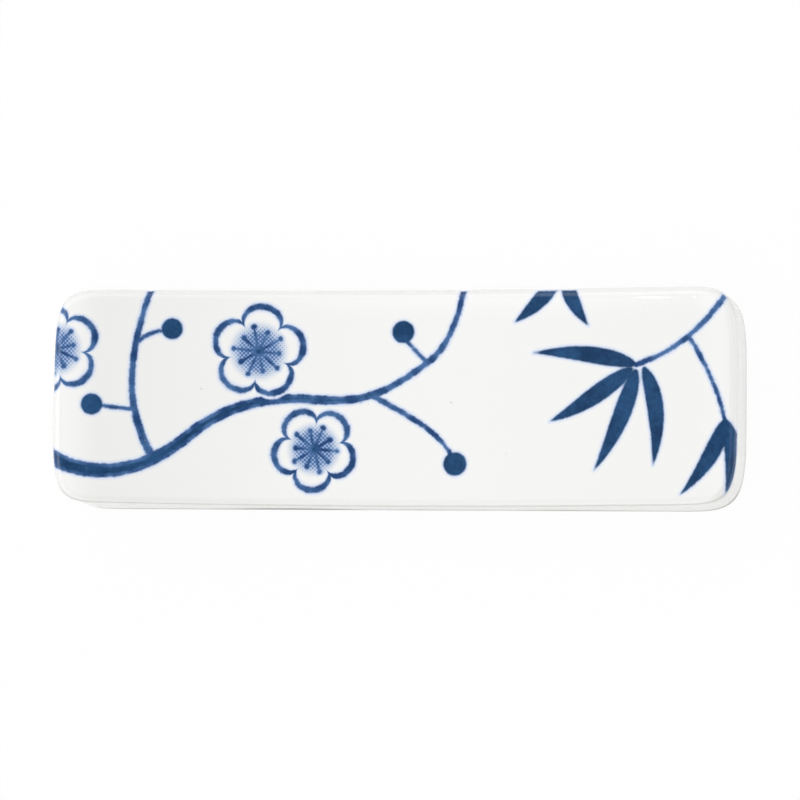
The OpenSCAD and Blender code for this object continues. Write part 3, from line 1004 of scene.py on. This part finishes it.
def plainGlaze():
    material, tree, shader = principledMaterial("plainGlaze")
    place = objectPlace(tree)
    surface = groupIn(tree, glazeSurface, {"Place": place, "Waves": hollowLook["waves"],
                                           "Speck Share": hollowLook["speckCells"]})
    colour = blend(attributeOf(tree, "pooling"), hollowLook["white"], hollowLook["pooledAndPaintedLight"])
    specks = surface["Speck"] * hollowLook["speckShare"]
    plug(shader, "Base Color", blend(specks, colour, skinLook["speck"]))
    plug(shader, "Roughness", surface["Roughness"])
    plug(shader, "Normal", bumpFrom(surface["Height"]))
    shader.inputs["IOR"].default_value = surfaceLook["index"]
    return material


recessGlaze = recessGlazePiece()
recessGlaze.data.materials.append(plainGlaze())
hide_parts("recess_glaze")

# White table and soft light: brighter high up on the left and low down on the right, dimmer low
# down at the front, and dark over the camera
studio = {
    "floorSize": 4.0,         # metres
    "floorColour": shade(242, 242, 241),
    "floorPale": shade(245, 245, 245),        # of its fibres
    "floorScale": 400.0,
    "shadowShare": 0.04,      # how much of the floor's own shading the camera sees
    "mirrorShare": 0.4,       # and how much of it the glaze mirrors
    "horizon": 0.85,
    "top": 1.33,
    "topRise": 0.6,           # share of the way up at which the sky is as bright as its top
    "middle": 0.5,            # share of the way up at which low turns to high
    "left": 1.1,              # high up, added to the left and taken off to the right
    "card": 1.5,              # low down, added to the right and taken off to the left
    "front": 0.8,             # and taken off to the front
    "least": 0.05,
    "dark": 0.85,             # share taken off over the camera, so that the ink isn't veiled
    "darkRight": (-42.0, -30.0, 16.0, 24.0),  # tilts between which that starts and ends,
    "darkBack": (-14.0, -6.0, 24.0, 44.0),    # in degrees from straight up
    "lampPlace": Vector((-0.233, 0.15, 0.5)),         # metres
    "lampSize": (0.024, 0.009),
    "lampPower": 0.011,       # watts
}


def floorPaper():
    material = bpy.data.materials.new("floorPaper")
    material.use_nodes = True
    tree = material.node_tree
    tree.nodes.clear()
    fibres = noiseAt(objectPlace(tree), studio["floorScale"], detail=3.0)
    colour = blend(fibres, studio["floorColour"], studio["floorPale"])
    paper = addNode(tree, "ShaderNodeBsdfDiffuse", {"Color": colour})
    white = addNode(tree, "ShaderNodeEmission", {"Color": pureWhite, "Strength": 1.0})
    rays = addNode(tree, "ShaderNodeLightPath", {})
    seen = most(Wire(tree, rays.outputs["Is Camera Ray"]) * (1 - studio["shadowShare"]),
                Wire(tree, rays.outputs["Is Transmission Ray"]) * (1 - studio["shadowShare"]),
                Wire(tree, rays.outputs["Is Glossy Ray"]) * (1 - studio["mirrorShare"]))
    mix = addNode(tree, "ShaderNodeMixShader",
                  {0: seen, 1: Wire(tree, paper.outputs[0]), 2: Wire(tree, white.outputs[0])})
    addNode(tree, "ShaderNodeOutputMaterial", {"Surface": Wire(tree, mix.outputs[0])})
    return material


def placeFloor():
    half = studio["floorSize"] / 2
    corners = [(-half, -half, 0), (half, -half, 0), (half, half, 0), (-half, half, 0)]
    mesh = bpy.data.meshes.new("floor")
    mesh.from_pydata(corners, [], [(0, 1, 2, 3)])
    mesh.materials.append(floorPaper())
    floor = bpy.data.objects.new("floor", mesh)
    bpy.context.scene.collection.objects.link(floor)


# 1 between the second and the third value, and 0 before the first and past the last
def plateau(wire, first, second, third, last):
    return ramp(wire, first, second) * ramp(wire, third, last, 1.0, 0.0)


# Sky of the studio, with a dark patch where the camera hangs. The patch is bounded by the tilts
# of a direction from straight up, to the right and to the back.
def placeSky():
    world = bpy.data.worlds.new("studioSky")
    bpy.context.scene.world = world
    world.use_nodes = True
    tree = world.node_tree
    tree.nodes.clear()
    x, y, z = splitOf(Wire(tree, addNode(tree, "ShaderNodeTexCoord", {}).outputs["Generated"]))
    right = x.math("ARCTAN2", z) * math.degrees(1)
    back = y.math("ARCTAN2", z) * math.degrees(1)
    patch = plateau(right, *studio["darkRight"]) * plateau(back, *studio["darkBack"])
    high = ramp(z, 0.0, studio["middle"]) * (x * -studio["left"])
    low = (ramp(z, 0.0, studio["middle"], 1.0, 0.0)
           * (x * studio["card"] + least(y, 0.0) * studio["front"]))
    strength = ramp(z, 0.0, studio["topRise"], studio["horizon"], studio["top"]) + high + low
    strength = most(strength, studio["least"]) * (patch * -studio["dark"] + 1.0)
    sky = addNode(tree, "ShaderNodeBackground", {"Color": pureWhite, "Strength": strength})
    addNode(tree, "ShaderNodeOutputWorld", {"Surface": Wire(tree, sky.outputs[0])})


def placeLamp():
    light = bpy.data.lights.new("window", "AREA")
    light.shape = "RECTANGLE"
    light.size, light.size_y = studio["lampSize"]
    light.energy = studio["lampPower"]
    lamp = bpy.data.objects.new("window", light)
    lamp.location = studio["lampPlace"]
    lamp.rotation_euler = studio["lampPlace"].to_track_quat("Z", "Y").to_euler()
    bpy.context.scene.collection.objects.link(lamp)


placeFloor()
placeSky()
placeLamp()
bpy.context.scene.view_settings.view_transform = "Standard"
print("studio made")
